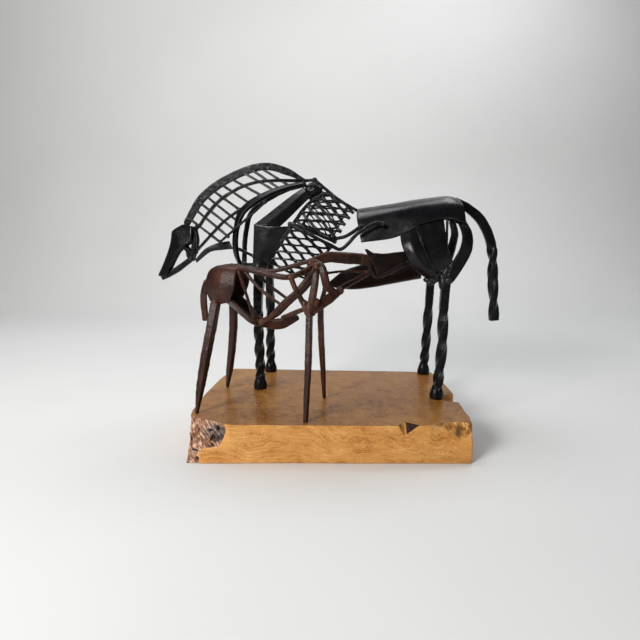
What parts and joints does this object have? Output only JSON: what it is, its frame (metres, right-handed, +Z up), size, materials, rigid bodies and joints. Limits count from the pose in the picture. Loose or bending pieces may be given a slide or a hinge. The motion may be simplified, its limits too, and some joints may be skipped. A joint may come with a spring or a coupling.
{
  "type": "mare and foal sculpture",
  "caption": "Openwork sculpture of welded iron: a black mare with a lattice neck and twisted legs and a rust-brown foal nursing at her flank, on a thick burl wood slab.",
  "frame": {"origin": "on the slab's underside, near the middle of the slab, where the sculpture stands on a flat surface", "axes": "+X along the slab's long side, from the mare's head towards the mare's tail; +Y from the front, where the foal stands, to the back; +Z up"},
  "size_m": [0.5195, 0.245, 0.3813],
  "materials": {
    "black_iron": "black waxed forge finish, satin, with hammer marks and weld beads",
    "rust_iron": "rust-brown waxed patina, satin, with hammer marks and weld beads",
    "burl_wood": "oiled burl with swirling figure, a bark pocket and natural voids"
  },
  "bodies": {
    "root": {"base_slab": "burl_wood", "foal_back_bar_left": "rust_iron", "foal_back_bar_right": "rust_iron", "foal_belly_band": "rust_iron", "foal_belly_bar": "rust_iron", "foal_breast_bar": "rust_iron", "foal_flank_rib": "rust_iron", "foal_head": "rust_iron", "foal_leg_fore_left": "rust_iron", "foal_leg_fore_right": "rust_iron", "foal_leg_hind_left": "rust_iron", "foal_leg_hind_right": "rust_iron", "foal_neck_bar": "rust_iron", "foal_neck_rod": "rust_iron", "foal_rump_shell": "rust_iron", "foal_shoulder_bar_left": "rust_iron", "foal_shoulder_bar_right": "rust_iron", "foal_shoulder_bow": "rust_iron", "foal_side_bars_left": "rust_iron", "foal_side_bars_right": "rust_iron", "foal_tail": "rust_iron", "foal_throat_bar": "rust_iron", "mare_back_plate": "black_iron", "mare_belly_plate": "black_iron", "mare_breast_bar": "black_iron", "mare_cheek_left": "black_iron", "mare_cheek_right": "black_iron", "mare_chest_hoop_left": "black_iron", "mare_chest_hoop_right": "black_iron", "mare_chest_strut": "black_iron", "mare_crest_band": "black_iron", "mare_face_plate": "black_iron", "mare_haunch_front_left": "black_iron", "mare_haunch_rear_left": "black_iron", "mare_haunch_right": "black_iron", "mare_jaw_bar": "black_iron", "mare_leg_fore_left": "black_iron", "mare_leg_fore_right": "black_iron", "mare_leg_hind_left": "black_iron", "mare_leg_hind_right": "black_iron", "mare_link_bar": "black_iron", "mare_neck_lattice": "black_iron", "mare_rib_mesh_lower_left": "black_iron", "mare_rib_mesh_right": "black_iron", "mare_rib_mesh_upper_left": "black_iron", "mare_rump_hoop_left": "black_iron", "mare_rump_hoop_right": "black_iron", "mare_rump_rod": "black_iron", "mare_shoulder_blade_left": "black_iron", "mare_shoulder_blade_right": "black_iron", "mare_shoulder_plate_left": "black_iron", "mare_side_rod_left": "black_iron", "mare_side_rod_right": "black_iron", "mare_spine_rod": "black_iron", "mare_tail": "black_iron", "mare_throat_plate": "black_iron", "mare_throat_rod": "black_iron", "mare_withers_knuckle": "black_iron"}
  },
  "joints": []
}
